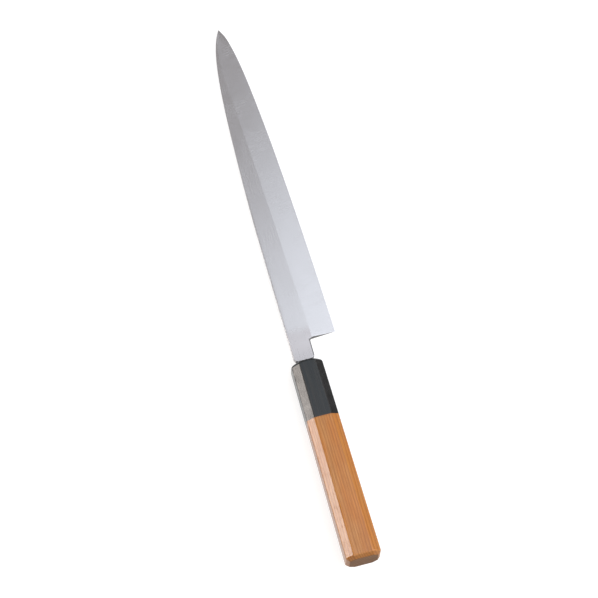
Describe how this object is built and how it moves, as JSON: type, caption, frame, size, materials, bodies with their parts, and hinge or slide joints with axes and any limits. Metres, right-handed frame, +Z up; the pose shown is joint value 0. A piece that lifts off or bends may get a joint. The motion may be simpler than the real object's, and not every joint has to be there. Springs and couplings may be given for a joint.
{
  "type": "yanagiba knife",
  "caption": "Long narrow slicing knife, bevelled on the front face only, with an exposed neck, a black horn collar and an octagonal wooden grip that grows towards the butt.",
  "frame": {"origin": "Middle of the overall box, on the surface that the knife lies on.", "axes": "+Y runs along the knife from butt to tip, +X points from the spine to the cutting edge, +Z is up. The knife lies on its flat back as it does on a table: the tip and the rounded lower front of the ferrule touch it, so the handle's axis is 1.8 degrees tip down."},
  "size_m": [0.037, 0.3912, 0.0246],
  "materials": {
    "blade_steel": "fine satin, ground across the blade, stainless",
    "horn": "black buffalo horn, polished to a soft sheen",
    "grip_wood": "smooth, straight fine grain, thin satin oil finish",
    "dowel_wood": "plain pale wood, unfinished",
    "resin": "hard dark resin"
  },
  "bodies": {
    "root": {"blade": "blade_steel", "ferrule": "horn", "grip": "grip_wood", "dowel": "dowel_wood", "tang_bedding": "resin", "mouth_seal": "resin"}
  },
  "joints": []
}
